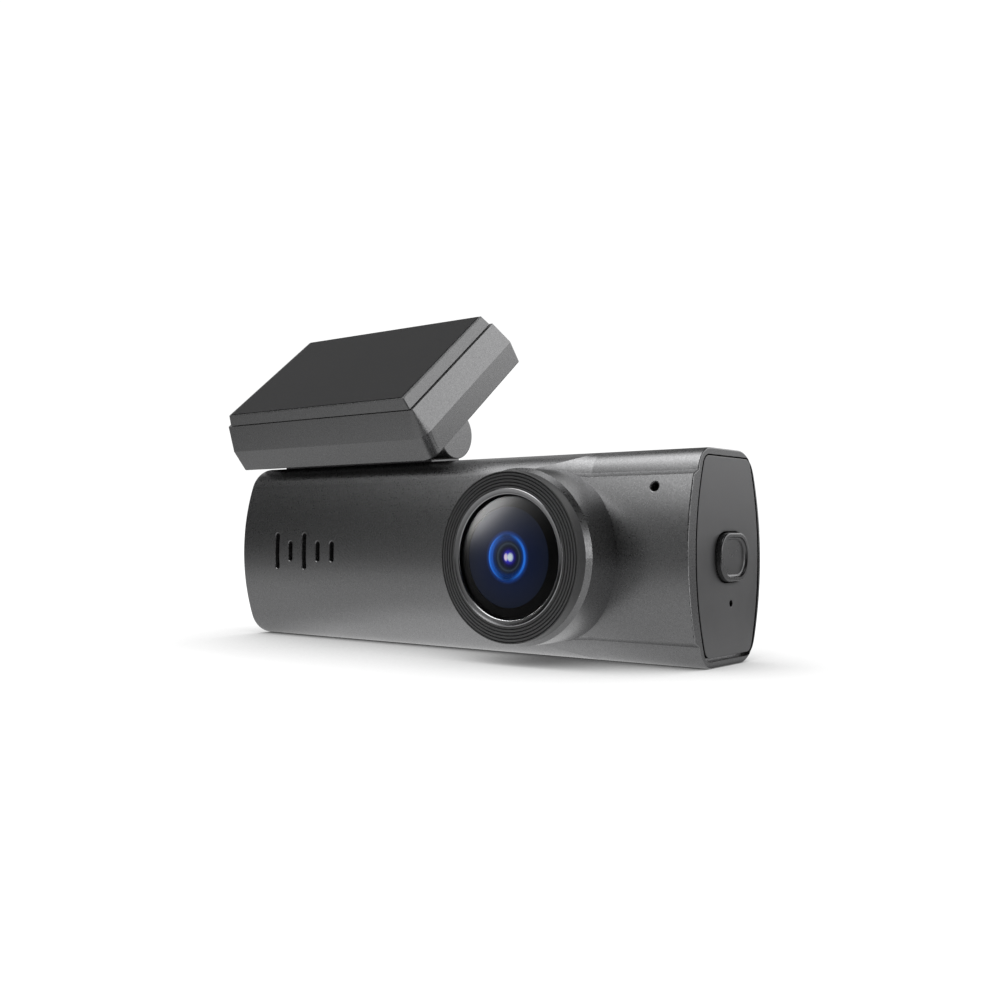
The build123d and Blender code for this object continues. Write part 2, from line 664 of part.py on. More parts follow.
def pin_insert():
    insert = rod_x(INSERT_RADIUS, LUG_RIGHT - LUG, PIN_TIP, HINGE_Y, HINGE_Z)
    return insert - rod_x(PIN_RADIUS + THREAD_GAP, LUG_LEFT, LUG_RIGHT, HINGE_Y, HINGE_Z)


def friction_washers():
    """One washer between each lug and the body's knuckle."""
    washers = []
    for start in (LUG_LEFT + LUG, LUG_RIGHT - LUG - WASHER):
        washer = rod_x(3.6, start, start + WASHER, HINGE_Y, HINGE_Z)
        washers.append(washer - rod_x(PIN_RADIUS + THREAD_GAP, LUG_LEFT, LUG_RIGHT, HINGE_Y, HINGE_Z))
    return Compound(children=washers)


PAD_THICKNESS = 0.8


def pad_plate():
    plate = loft([layer(PLATE_TOP, 0.3, 0.3), layer(PLATE_BOTTOM, 0.3, 0.3)])
    plate = fillet(plate.faces().sort_by(PAD_AXIS)[-1].edges(), PLATE_ROUND)
    plate -= PAD_FRAME * Pos(0, 0, 0) * Box(PAD_SIZE[0] + 0.1, PAD_SIZE[1] + 0.1, 2 * PAD_THICKNESS)
    for x in (-PLATE_SCREW_X, PLATE_SCREW_X):
        for y in (-PLATE_SCREW_Y, PLATE_SCREW_Y):
            plate -= PAD_FRAME * Pos(x, y, -PAD_THICKNESS) * Cylinder(1.6, 1.2)
            plate -= PAD_FRAME * Pos(x, y, -2) * Cylinder(SCREW_RADIUS + THREAD_GAP, 3)
    return plate


def plate_screws():
    screws = []
    for x in (-PLATE_SCREW_X, PLATE_SCREW_X):
        for y in (-PLATE_SCREW_Y, PLATE_SCREW_Y):
            head = PAD_FRAME * Pos(x, y, -PAD_THICKNESS - 0.325) * Cylinder(1.55, 0.55)
            shank = PAD_FRAME * Pos(x, y, -PAD_THICKNESS - 0.6 - 1.5) * Cylinder(SCREW_RADIUS, 3.0)
            screws.append(head + shank)
    return Compound(children=screws)


def adhesive_pad():
    return PAD_FRAME * Pos(0, 0, -PAD_THICKNESS / 2) * Box(PAD_SIZE[0], PAD_SIZE[1], PAD_THICKNESS)


# ------------------------------------------------------------------ output

PIECES = (
    front_shell, back_cover, left_end_cap, right_end_frame, right_end_panel,
    side_button, switch_plunger, button_switch, side_board, status_led, light_guide,
    lens_barrel, lens_front_ring, lens_bezel, cover_glass, lens_mask, lens_tube, front_element,
    inner_element, aperture_ring, rear_element, lens_holder, image_sensor, sensor_board,
    board_connector, main_board, board_screws, shield_can, heat_spreader, backup_cell,
    usb_socket, card_socket, speaker, speaker_mesh, mic_boot, microphone, antenna,
    hinge_saddle, saddle_screws, bracket_block, hinge_pin, pin_insert, friction_washers,
    pad_plate, plate_screws, adhesive_pad,
)

os.makedirs("parts", exist_ok=True)
for make_piece in PIECES:
    export_step(make_piece(), os.path.join("parts", make_piece.__name__ + ".step"))
print("pad centre", [round(value, 3) for value in PAD_CENTRE])
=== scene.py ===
import json
import math

import bpy
from mathutils import Matrix, Vector


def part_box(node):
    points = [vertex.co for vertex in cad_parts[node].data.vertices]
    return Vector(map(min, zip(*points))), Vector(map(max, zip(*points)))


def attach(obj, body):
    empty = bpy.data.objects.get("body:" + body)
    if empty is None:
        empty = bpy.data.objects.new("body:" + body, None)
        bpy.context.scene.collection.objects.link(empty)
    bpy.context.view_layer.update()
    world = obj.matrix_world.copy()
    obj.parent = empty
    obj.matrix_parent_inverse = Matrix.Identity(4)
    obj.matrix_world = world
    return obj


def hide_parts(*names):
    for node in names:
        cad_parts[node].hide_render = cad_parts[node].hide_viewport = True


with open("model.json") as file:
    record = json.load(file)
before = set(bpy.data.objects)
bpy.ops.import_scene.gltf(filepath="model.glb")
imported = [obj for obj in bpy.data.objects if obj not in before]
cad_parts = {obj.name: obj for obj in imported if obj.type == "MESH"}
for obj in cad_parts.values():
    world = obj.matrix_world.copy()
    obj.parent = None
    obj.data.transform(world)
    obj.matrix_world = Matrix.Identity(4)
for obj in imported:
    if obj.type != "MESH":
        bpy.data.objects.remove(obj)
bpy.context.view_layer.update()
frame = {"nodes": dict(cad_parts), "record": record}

# A windscreen dash camera on a white studio floor. Lengths are in metres, in the CAD model's frame:
# X along the body, the lens looking along -Y, Z up.

MM = 0.001

# ------------------------------------------------------------------ places, read from the frame

RING_LOW, RING_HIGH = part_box("lens_front_ring")
LENS_X = (RING_LOW.x + RING_HIGH.x) / 2
LENS_Z = (RING_LOW.z + RING_HIGH.z) / 2
RING_RADIUS = (RING_HIGH.x - RING_LOW.x) / 2
RING_FACE = -RING_LOW.y                     # distance in front of the body's middle plane
RING_BACK = -RING_HIGH.y
GLASS_LOW, GLASS_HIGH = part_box("cover_glass")
GLASS_RADIUS = (GLASS_HIGH.x - GLASS_LOW.x) / 2
GLASS_APEX = -GLASS_LOW.y

# ------------------------------------------------------------------ lens sizes

RING_BORE = 10.1 * MM
GROOVES = 5
GROOVE_PITCH = 0.47 * MM
GROOVE_WIDTH = 0.2 * MM
GROOVE_DEPTH = 0.22 * MM
BEZEL_BORE = 9.15 * MM
GLASS_RISE = 1.5 * MM
WINDOW_RADIUS = 7.39 * MM                   # the clear part inside the glass's black border
IRIS_RADIUS = 3.5 * MM                      # outside of the bright blue ring
IRIS_INNER = 2.95 * MM
PUPIL_RADIUS = 1.17 * MM
BAFFLES = 3                                 # steps between the blue ring and the pupil
PAINTED_PUPIL_GLINTS = (                            # painted glints on the pupil: place across the pupil, size and colour
    (-0.38 * MM, 0.50 * MM, (1.0, 0.85, 1.0)),
    (0.40 * MM, 0.55 * MM, (0.85, 1.0, 1.0)),
)
TURNS = 256                                 # segments round every turned lens part

# ------------------------------------------------------------------ finish sizes

GRAIN = 0.2 * MM                            # flakes in the paint
GAP_SHADE_REACH = 1.0 * MM                  # the end pieces get painted shade in gaps about this narrow

# ------------------------------------------------------------------ studio sizes

FLOOR_GLOW = (                              # distance from the object, and the table's own light there
    (15 * MM, 0.8),
    (25 * MM, 0.4),
    (50 * MM, 0.4),
    (80 * MM, 0.2),
    (150 * MM, 0.0),
)
WHITE_SEEN = 1.05                           # the floor and background, as the camera sees them
FLOOR_SHADE_REACH = 45 * MM                 # how far the painted shadow round the object reaches on the floor

# The studio's soft lights: azimuth (0 in front of the lens, 90 at the button end), elevation, reach
# in degrees from the middle to the dark edge, and radiance
KEY = (-50, 68, 34, 3.0)
FRONT = (-25, 36, 20, 2.0)
LOW_FRONT = (-30, 4, 22, 0.2)
BUTTON_END = (92, 6, 24, 2.0)
LEFT_REAR = (-120, 22, 30, 0.7)
REAR = [(azimuth, 20, 30, 1.2) for azimuth in (120, 150, 180)]
LIGHTS = [KEY, FRONT, LOW_FRONT, BUTTON_END, LEFT_REAR] + REAR

GLASS_LIGHT_AZIMUTH = -70.0
GLASS_LIGHT_ELEVATION = 34.0
GLASS_LIGHT_AWAY = 0.6
GLASS_LIGHT_SIZE = 0.56
GLASS_LIGHT_RADIANCE = 50.0

CAMERA_AZIMUTH = 38.58
CAMERA_ELEVATION = -1.59
CAMERA_PLACE = (0.12395, -0.14800, 0.01960)
CAMERA_LENS = 40.29                         # focal length and sensor width, in millimetres
CAMERA_SENSOR = 36.0


def direction(azimuth, elevation):
    """The unit vector from the object towards that azimuth and elevation, in degrees."""
    turn = math.radians(azimuth)
    rise = math.radians(elevation)
    return Vector((math.sin(turn) * math.cos(rise), -math.cos(turn) * math.cos(rise), math.sin(rise)))


# ------------------------------------------------------------------ node helpers

class Shader:
    """A material's node tree, with short calls for the nodes that the finishes share."""

    def __init__(self, name):
        self.material = bpy.data.materials.new(name)
        self.material.use_nodes = True
        self.tree = self.material.node_tree
        self.surface = self.tree.nodes["Principled BSDF"]
        self.output = self.tree.nodes["Material Output"]
        self.place = self.tree.nodes.new("ShaderNodeTexCoord").outputs["Object"]

    def node(self, kind, **settings):
        made = self.tree.nodes.new(kind)
        for key, value in settings.items():
            setattr(made, key, value)
        return made

    def link(self, source, target):
        self.tree.links.new(source, target)

    def set(self, **values):
        """Set the shader's own sockets, with spaces in their names written as underscores."""
        for key, value in values.items():
            self.surface.inputs[key.replace("_", " ")].default_value = value

    def noise(self, scale, detail=2.0, roughness=0.5, stretch=(1, 1, 1)):
        mapping = self.node("ShaderNodeMapping")
        mapping.inputs["Scale"].default_value = stretch
        self.link(self.place, mapping.inputs["Vector"])
        texture = self.node("ShaderNodeTexNoise")
        texture.inputs["Scale"].default_value = scale
        texture.inputs["Detail"].default_value = detail
        texture.inputs["Roughness"].default_value = roughness
        self.link(mapping.outputs["Vector"], texture.inputs["Vector"])
        return texture.outputs["Fac"]

    def cells(self, scale):
        """A random value for each small cell, as flakes in paint have."""
        texture = self.node("ShaderNodeTexVoronoi")
        texture.inputs["Scale"].default_value = scale
        self.link(self.place, texture.inputs["Vector"])
        split = self.node("ShaderNodeSeparateColor")
        self.link(texture.outputs["Color"], split.inputs["Color"])
        return split.outputs["Red"]

    def spread(self, source, low, high, start=0.3, stop=0.7):
        """Map a source's values between start and stop to low and high."""
        fit = self.node("ShaderNodeMapRange")
        fit.inputs["From Min"].default_value = start
        fit.inputs["From Max"].default_value = stop
        fit.inputs["To Min"].default_value = low
        fit.inputs["To Max"].default_value = high
        self.link(source, fit.inputs["Value"])
        return fit.outputs["Result"]

    def times(self, a, b):
        product = self.node("ShaderNodeMath", operation="MULTIPLY")
        self.link(a, product.inputs[0])
        self.link(b, product.inputs[1])
        return product.outputs["Value"]

    def tint(self, colour, factor):
        """A colour made lighter or darker by a factor."""
        scale = self.node("ShaderNodeVectorMath", operation="SCALE")
        scale.inputs[0].default_value = colour
        self.link(factor, scale.inputs["Scale"])
        return scale.outputs["Vector"]

    def blend(self, factor, a, b):
        """Two colours mixed by a factor. Each is a linked socket or a plain colour."""
        mix = self.node("ShaderNodeMix", data_type="RGBA")
        self.link(factor, mix.inputs["Factor"])
        for end, colour in (("A", a), ("B", b)):
            if isinstance(colour, tuple):
                mix.inputs[end].default_value = (*colour, 1)
            else:
                self.link(colour, mix.inputs[end])
        return mix.outputs["Result"]

    def ramp(self, factor, stops):
        made = self.node("ShaderNodeValToRGB")
        elements = made.color_ramp.elements
        while len(elements) < len(stops):
            elements.new(1.0)
        for element, (position, colour) in zip(elements, stops):
            element.position = position
            element.color = (*colour, 1)
        self.link(factor, made.inputs["Fac"])
        return made.outputs["Color"]

    def relief(self, height, depth, strength=1.0):
        bump = self.node("ShaderNodeBump")
        bump.inputs["Distance"].default_value = depth
        bump.inputs["Strength"].default_value = strength
        self.link(height, bump.inputs["Height"])
        self.link(bump.outputs["Normal"], self.surface.inputs["Normal"])

    def radius(self, full):
        """Distance from the piece's own Y axis, as a share of full."""
        flat = self.node("ShaderNodeVectorMath", operation="MULTIPLY")
        flat.inputs[1].default_value = (1 / full, 0, 1 / full)
        self.link(self.place, flat.inputs[0])
        length = self.node("ShaderNodeVectorMath", operation="LENGTH")
        self.link(flat.outputs["Vector"], length.inputs[0])
        return length.outputs["Value"]

    def painted_crevice_shade(self, reach):
        """Painted shade: 1 on open faces, down to 0 in gaps narrower than the reach."""
        near = self.node("ShaderNodeAmbientOcclusion", samples=8)
        near.inputs["Distance"].default_value = reach
        return self.spread(near.outputs["AO"], 0.02, 1, 0.55, 0.85)

    def colour(self, socket):
        self.link(socket, self.surface.inputs["Base Color"])

    def rough(self, socket):
        self.link(socket, self.surface.inputs["Roughness"])


# ------------------------------------------------------------------ finishes

def grainy_paint(name, colour, metal, roughness, smooth_end=None):
    """Satin paint with fine metal flake. With smooth_end, faces along +X are that plain colour, with
    painted shade in narrow gaps.
    """
    paint = Shader(name)
    flakes = paint.spread(paint.cells(1 / GRAIN), 0.93, 1.07, 0, 1)
    speckle = paint.noise(0.8 / GRAIN, detail=1.0)
    cloud = paint.spread(paint.noise(60.0, detail=4.0), 0.985, 1.015)
    tone = paint.tint(colour, paint.times(flakes, cloud))
    if smooth_end:
        # painted shade: the smooth end's plain colour is darkened in narrow gaps
        flat = paint.tint(smooth_end, paint.painted_crevice_shade(GAP_SHADE_REACH))
        normal = paint.node("ShaderNodeTexCoord").outputs["Normal"]
        split = paint.node("ShaderNodeSeparateXYZ")
        paint.link(normal, split.inputs["Vector"])
        facing = paint.spread(split.outputs["X"], 0, 1, 0.9, 0.98)
        tone = paint.blend(facing, tone, flat)
    paint.colour(tone)
    paint.rough(paint.spread(speckle, roughness - 0.05, roughness + 0.06))
    paint.set(Metallic=metal)
    paint.relief(speckle, 0.01 * MM, 0.35)
    return paint.material


def moulded_plastic(name, colour, roughness, texture=0.12 * MM, depth=0.004 * MM, metal=0.0,
                    gap_shade=None):
    """Smooth moulded plastic with a faint eroded texture. With gap_shade, painted shade darkens it in
    narrow gaps.
    """
    plastic = Shader(name)
    fine = plastic.noise(1 / texture, detail=3.0)
    cloud = plastic.noise(90.0, detail=5.0, roughness=0.6)
    shade = plastic.spread(cloud, 0.93, 1.07)
    if gap_shade:
        # painted shade: darker in narrow gaps
        shade = plastic.times(shade, plastic.painted_crevice_shade(gap_shade))
    plastic.colour(plastic.tint(colour, shade))
    plastic.rough(plastic.spread(cloud, roughness - 0.04, roughness + 0.05))
    plastic.set(Metallic=metal)
    plastic.relief(fine, depth, 0.6)
    return plastic.material


def turned_metal(name, colour, roughness, stretch=(1, 1, 1), streak=8000.0):
    """Machined or drawn metal, with fine lines along the stretched direction."""
    metal = Shader(name)
    lines = metal.noise(streak, detail=2.0, stretch=stretch)
    smudge = metal.noise(120.0, detail=4.0)
    metal.colour(metal.tint(colour, metal.spread(lines, 0.88, 1.08)))
    metal.rough(metal.spread(smudge, roughness * 0.8, roughness * 1.3))
    metal.set(Metallic=1.0)
    metal.relief(lines, 0.003 * MM, 0.5)
    return metal.material


def foam_tape(name):
    """The adhesive pad's matte face: fine closed-cell foam."""
    tape = Shader(name)
    pores = tape.cells(1 / (0.3 * MM))
    cloud = tape.noise(70.0, detail=4.0)
    tape.colour(tape.tint((0.066, 0.066, 0.067), tape.spread(cloud, 0.97, 1.03)))
    tape.rough(tape.spread(cloud, 0.82, 0.9))
    tape.set(Specular_IOR_Level=0.2)
    tape.relief(pores, 0.004 * MM, 0.3)
    return tape.material


def circuit_board(name):
    """Green solder mask with a faint pattern of tracks."""
    board = Shader(name)
    tracks = board.noise(900.0, detail=0.0, stretch=(1, 1, 0.15))
    weave = board.noise(5000.0, detail=1.0)
    copper = board.spread(tracks, 0, 1, 0.48, 0.52)
    board.colour(board.blend(copper, (0.01, 0.10, 0.04), (0.02, 0.17, 0.07)))
    board.rough(board.spread(weave, 0.28, 0.4))
    board.relief(tracks, 0.01 * MM, 0.5)
    return board.material


def woven_mesh(name):
    """The speaker's fine black acoustic cloth."""
    cloth = Shader(name)
    wave = cloth.node("ShaderNodeTexWave", wave_type="BANDS", bands_direction="X")
    wave.inputs["Scale"].default_value = 1500.0
    cloth.link(cloth.place, wave.inputs["Vector"])
    cross = cloth.node("ShaderNodeTexWave", wave_type="BANDS", bands_direction="Z")
    cross.inputs["Scale"].default_value = 1500.0
    cloth.link(cloth.place, cross.inputs["Vector"])
    weave = cloth.times(wave.outputs["Fac"], cross.outputs["Fac"])
    cloth.colour(cloth.tint((0.012, 0.012, 0.012), cloth.spread(weave, 0.5, 1.5, 0, 1)))
    cloth.rough(cloth.spread(weave, 0.8, 0.95, 0, 1))
    cloth.relief(weave, 0.03 * MM)
    return cloth.material


def ring_finish(name):
    """The satin dark ring round the lens, with a trace of the lathe's circular lines."""
    ring = Shader(name)
    lines = ring.node("ShaderNodeTexNoise", noise_dimensions="1D")
    lines.inputs["Scale"].default_value = 220.0
    ring.link(ring.radius(RING_RADIUS), lines.inputs["W"])
    speckle = ring.noise(6000.0, detail=2.0)
    ring.colour(ring.tint((0.09, 0.09, 0.091), ring.spread(speckle, 0.85, 1.15)))
    ring.rough(ring.spread(speckle, 0.36, 0.46))
    ring.relief(lines.outputs["Fac"], 0.004 * MM, 0.5)
    return ring.material


def polished_bezel(name):
    """Polished dark metal with faint smudges."""
    bezel = Shader(name)
    smudge = bezel.noise(260.0, detail=4.0)
    bezel.colour(bezel.tint((0.5, 0.5, 0.51), bezel.spread(smudge, 0.95, 1.04)))
    bezel.rough(bezel.spread(smudge, 0.16, 0.22))
    bezel.set(Metallic=1.0)
    return bezel.material


def coated_glass(name):
    """Clear cover glass: see-through, with a faint reflection from its coating."""
    glass = Shader(name)
    clear = glass.node("ShaderNodeBsdfTransparent")
    clear.inputs["Color"].default_value = (0.94, 0.95, 0.97, 1)
    glass.set(Base_Color=(0, 0, 0, 1), Metallic=0.0, Specular_IOR_Level=0.5)
    smear = glass.noise(140.0, detail=5.0)
    glass.rough(glass.spread(smear, 0.27, 0.32))
    layer = glass.node("ShaderNodeLayerWeight")
    layer.inputs["Blend"].default_value = 0.3
    share = glass.spread(layer.outputs["Fresnel"], 0.15, 1.0, 0.1, 1.0)
    mix = glass.node("ShaderNodeMixShader")
    glass.link(share, mix.inputs["Fac"])
    glass.link(clear.outputs["BSDF"], mix.inputs[1])
    glass.link(glass.surface.outputs["BSDF"], mix.inputs[2])
    glass.link(mix.outputs["Shader"], glass.output.inputs["Surface"])
    return glass.material


def coated_lens_painted_light(name):
    """The lens behind the glass: a dark blue disc, a blue ring and a small pupil with two glints.

    The blue ring, the pupil and its two glints are painted reflections and highlights of the coatings.
    The colours also glow a little, a painted glow so that the lens keeps them in any light. The blue
    ring has a painted highlight at its left and right sides, so one ramp holds its dull colours and the
    other its bright ones.
    """
    lens = Shader(name)
    share = lens.radius(WINDOW_RADIUS)
    ring = IRIS_RADIUS / WINDOW_RADIUS
    inner = IRIS_INNER / WINDOW_RADIUS
    pupil = PUPIL_RADIUS / WINDOW_RADIUS
    ramps = []
    # painted highlight: the second ramp's blue ring is brighter, for the ring's left and right sides
    for glow in (0.2, 1.2):
        ramps.append(lens.ramp(share, (
            (0.0, (0.06, 0.09, 0.90)),
            (pupil * 0.6, (0.05, 0.04, 0.60)),
            (pupil, (0.012, 0.010, 0.10)),
            (pupil + 0.05, (0.008, 0.012, 0.03)),
            (inner - 0.16, (0.012, 0.020, 0.035)),
            (inner - 0.13, (0.05, 0.07, 0.10)),
            (inner - 0.10, (0.012, 0.020, 0.035)),
            (inner - 0.04, (0.006, 0.03, 0.14)),
            (inner + 0.02, (0.02 * glow, 0.16 * glow, 0.70 * glow)),
            (ring - 0.03, (0.03 * glow, 0.24 * glow, 1.0 * glow)),
            (ring, (0.01, 0.05, 0.25)),
            (ring + 0.06, (0.008, 0.014, 0.045)),
            (1.0, (0.009, 0.013, 0.028)),
        )))
    across = lens.node("ShaderNodeVectorMath", operation="MULTIPLY")
    across.inputs[1].default_value = (1 / IRIS_RADIUS, 0, 0)
    lens.link(lens.place, across.inputs[0])
    ring_highlight_sides = lens.node("ShaderNodeVectorMath", operation="LENGTH")
    lens.link(across.outputs["Vector"], ring_highlight_sides.inputs[0])
    # painted highlight: the bright ramp takes over towards the left and right of the ring
    tone = lens.blend(lens.spread(ring_highlight_sides.outputs["Value"], 0, 1, 0.15, 0.9), ramps[0], ramps[1])
    # painted glints: two soft pale spots on the pupil stand in for highlights
    for x, size, painted_glint in PAINTED_PUPIL_GLINTS:
        flat = lens.node("ShaderNodeVectorMath", operation="MULTIPLY")
        flat.inputs[1].default_value = (1, 0, 0.75)
        lens.link(lens.place, flat.inputs[0])
        apart = lens.node("ShaderNodeVectorMath", operation="DISTANCE")
        apart.inputs[1].default_value = (x, 0, 0)
        lens.link(flat.outputs["Vector"], apart.inputs[0])
        tone = lens.blend(lens.spread(apart.outputs["Value"], 1, 0, size * 0.5, size), tone, painted_glint)
    lens.colour(tone)
    # painted glow: the lens's colours are also emitted, though it is no lamp
    lens.link(tone, lens.surface.inputs["Emission Color"])
    bloom = lens.noise(500.0, detail=3.0)
    lens.rough(lens.spread(bloom, 0.3, 0.4))
    lens.set(Emission_Strength=0.6, Specular_IOR_Level=0.12)
    return lens.material


def printed_black(name):
    """The black print behind the glass: very dark, with a faint unevenness."""
    ink = Shader(name)
    cloud = ink.noise(300.0, detail=4.0)
    ink.colour(ink.tint((0.004, 0.004, 0.0045), ink.spread(cloud, 0.8, 1.2)))
    ink.rough(ink.spread(cloud, 0.5, 0.6))
    ink.set(Specular_IOR_Level=0.1)
    return ink.material


def make_finishes():
    """One material for each material slot of the record."""
    dark = (0.27, 0.27, 0.274)
    smooth = (0.15, 0.15, 0.153)
    return {
        "body_shell": grainy_paint("body_shell", dark, 0.9, 0.3),
        "cover_plastic": grainy_paint("cover_plastic", dark, 0.9, 0.3),
        "barrel_plastic": grainy_paint("barrel_plastic", dark, 0.9, 0.3),
        "bracket_plastic": grainy_paint("bracket_plastic", (0.225, 0.225, 0.228), 0.88, 0.3),
        "end_plastic": moulded_plastic("end_plastic", smooth, 0.36, metal=0.8,
                                        gap_shade=GAP_SHADE_REACH),
        "end_rim": grainy_paint("end_rim", dark, 0.9, 0.3, smooth_end=smooth),
        "button_plastic": moulded_plastic("button_plastic", smooth, 0.26, metal=0.8),
        "black_plastic": moulded_plastic("black_plastic", (0.012, 0.012, 0.013), 0.5),
        "soft_rubber": moulded_plastic("soft_rubber", (0.02, 0.02, 0.02), 0.8, depth=0.01 * MM),
        "washer_nylon": moulded_plastic("washer_nylon", (0.75, 0.75, 0.72), 0.5),
        "light_pipe": moulded_plastic("light_pipe", (0.03, 0.03, 0.032), 0.15),
        "cell_wrap": moulded_plastic("cell_wrap", (0.05, 0.11, 0.30), 0.25, texture=0.6 * MM),
        "antenna_film": moulded_plastic("antenna_film", (0.42, 0.24, 0.06), 0.3),
        "sensor_silicon": moulded_plastic("sensor_silicon", (0.03, 0.03, 0.06), 0.12),
        "ring_plastic": ring_finish("ring_plastic"),
        "bezel_chrome": polished_bezel("bezel_chrome"),
        "steel": turned_metal("steel", (0.5, 0.5, 0.51), 0.3, stretch=(0.05, 1, 1)),
        "brass": turned_metal("brass", (0.72, 0.52, 0.22), 0.28, stretch=(0.05, 1, 1)),
        "heat_aluminium": turned_metal("heat_aluminium", (0.72, 0.73, 0.75), 0.32, stretch=(0.03, 1, 1)),
        "adhesive": foam_tape("adhesive"),
        "circuit_board": circuit_board("circuit_board"),
        "mesh_fabric": woven_mesh("mesh_fabric"),
        "cover_glass": coated_glass("cover_glass"),
        "lens_glass": coated_lens_painted_light("lens_glass"),
        "printed_black": printed_black("printed_black"),
    }


def finish_cad_nodes(finishes):
    """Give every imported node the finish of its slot. The end rim's sides match the body's paint."""
    for part in frame["record"]["subparts"]:
        name = "end_rim" if part["node"] == "right_end_frame" else part["material_slot"]
        materials = frame["nodes"][part["node"]].data.materials
        for index in range(len(materials)):
            materials[index] = finishes[name]


# ------------------------------------------------------------------ turned lens parts

def arc(centre, radius, start, stop, steps):
    """Points of a profile on an arc: (radius from the axis, distance along it), angles in degrees."""
    points = []
    for step in range(steps + 1):
        angle = math.radians(start + (stop - start) * step / steps)
        points.append((centre[0] + radius * math.cos(angle), centre[1] + radius * math.sin(angle)))
    return points


def turned(name, profile, material, replaced, closed=True):
    """A piece turned about the lens axis from a profile of (radius, distance in front) points."""
    rows = len(profile)
    vertices = []
    for turn in range(TURNS):
        angle = 2 * math.pi * turn / TURNS
        for radius, ahead in profile:
            vertices.append((radius * math.cos(angle), -ahead, radius * math.sin(angle)))
    faces = []
    spans = rows if closed else rows - 1
    for turn in range(TURNS):
        here = turn * rows
        there = (turn + 1) % TURNS * rows
        for row in range(spans):
            after = (row + 1) % rows
            faces.append((here + row, there + row, there + after, here + after))
    mesh = bpy.data.meshes.new(name)
    mesh.from_pydata(vertices, [], faces)
    mesh.materials.append(material)
    for polygon in mesh.polygons:
        polygon.use_smooth = True
    mesh.validate()
    piece = bpy.data.objects.new(name, mesh)
    piece.location = (LENS_X, 0, LENS_Z)
    bpy.context.scene.collection.objects.link(piece)
    split = piece.modifiers.new("sharp_edges", "EDGE_SPLIT")
    split.split_angle = math.radians(35)
    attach(piece, "housing")
    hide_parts(*replaced)
    return piece


def dome_profile(edge_radius, edge, rise, steps=24):
    """From the rim to the axis along a spherical cap."""
    ball = (edge_radius ** 2 + rise ** 2) / (2 * rise)
    points = []
    for step in range(steps + 1):
        radius = edge_radius * (1 - step / steps)
        points.append((max(radius, 1e-6), edge + rise - ball + math.sqrt(ball ** 2 - radius ** 2)))
    return points


def groove_ring(finishes):
    """The front ring: a flat face with fine rounded grooves, and a small round at its rim."""
    rim = 0.12 * MM
    profile = [(RING_BORE, RING_BACK), (RING_RADIUS, RING_BACK)]
    profile += arc((RING_RADIUS - rim, RING_FACE - rim), rim, 0, 90, 6)
    for index in reversed(range(GROOVES)):
        centre = RING_BORE + 0.36 * MM + index * GROOVE_PITCH
        half = GROOVE_WIDTH / 2
        shoulder = RING_FACE - GROOVE_DEPTH * 0.6
        profile += [(centre + half, RING_FACE), (centre + half * 0.7, shoulder)]
        profile.append((centre, RING_FACE - GROOVE_DEPTH))
        profile += [(centre - half * 0.7, shoulder), (centre - half, RING_FACE)]
    profile.append((RING_BORE, RING_FACE))
    return turned("groove_ring", profile, finishes["ring_plastic"], ["lens_front_ring"])


def bezel_ring(finishes):
    """The polished ring: a rounded crest, then a bevel down to the glass."""
    outer = RING_BORE - 0.02 * MM
    crest = 0.12 * MM
    profile = [(BEZEL_BORE, RING_BACK), (outer, RING_BACK), (outer, RING_FACE)]
    profile += arc((outer - crest, RING_FACE), crest, 10, 110, 8)
    profile += arc((BEZEL_BORE + 0.2 * MM, RING_FACE - 0.3 * MM), 0.2 * MM, 75, 180, 6)
    profile.append((BEZEL_BORE, RING_FACE - 0.5 * MM))
    return turned("bezel_ring", profile, finishes["bezel_chrome"], ["lens_bezel"])


def cover_dome(finishes):
    """The domed cover glass."""
    profile = dome_profile(GLASS_RADIUS, GLASS_APEX - GLASS_RISE, GLASS_RISE)
    return turned("cover_dome", profile, finishes["cover_glass"], ["cover_glass"],
                  closed=False)


def black_border(finishes):
    """The black printed border behind the glass."""
    edge = GLASS_APEX - GLASS_RISE - 0.12 * MM
    dome = dome_profile(GLASS_RADIUS, edge, GLASS_RISE, 48)
    border = [point for point in dome if point[0] >= WINDOW_RADIUS]
    lip = border[-1]
    profile = border + [(lip[0], lip[1] - 0.15 * MM), (GLASS_RADIUS, RING_BACK)]
    return turned("glass_border", profile, finishes["printed_black"], ["lens_mask"])


def lens_face(finishes):
    """The front element and what shows through it: a raised ring, stepped baffles and a bead."""
    edge = GLASS_APEX - 1.35 * MM
    rise = 0.35 * MM
    disc = dome_profile(WINDOW_RADIUS + 0.3 * MM, edge, rise, 40)
    profile = [point for point in disc if point[0] > IRIS_RADIUS]
    deck = profile[-1][1]
    middle = (IRIS_RADIUS + IRIS_INNER) / 2
    half = (IRIS_RADIUS - IRIS_INNER) / 2
    profile += arc((middle, deck - half * 0.5), half, 30, 150, 8)
    depth = deck - 0.15 * MM
    radius = IRIS_INNER
    step = (IRIS_INNER - PUPIL_RADIUS) / BAFFLES
    for _ in range(BAFFLES):
        profile += [(radius, depth), (radius - step * 0.75, depth - 0.03 * MM)]
        radius -= step
        depth -= 0.12 * MM
    bead = dome_profile(PUPIL_RADIUS, depth, 0.45 * MM, 12)
    return turned("lens_face", profile + bead, finishes["lens_glass"], ["front_element"],
                  closed=False)


# ------------------------------------------------------------------ studio

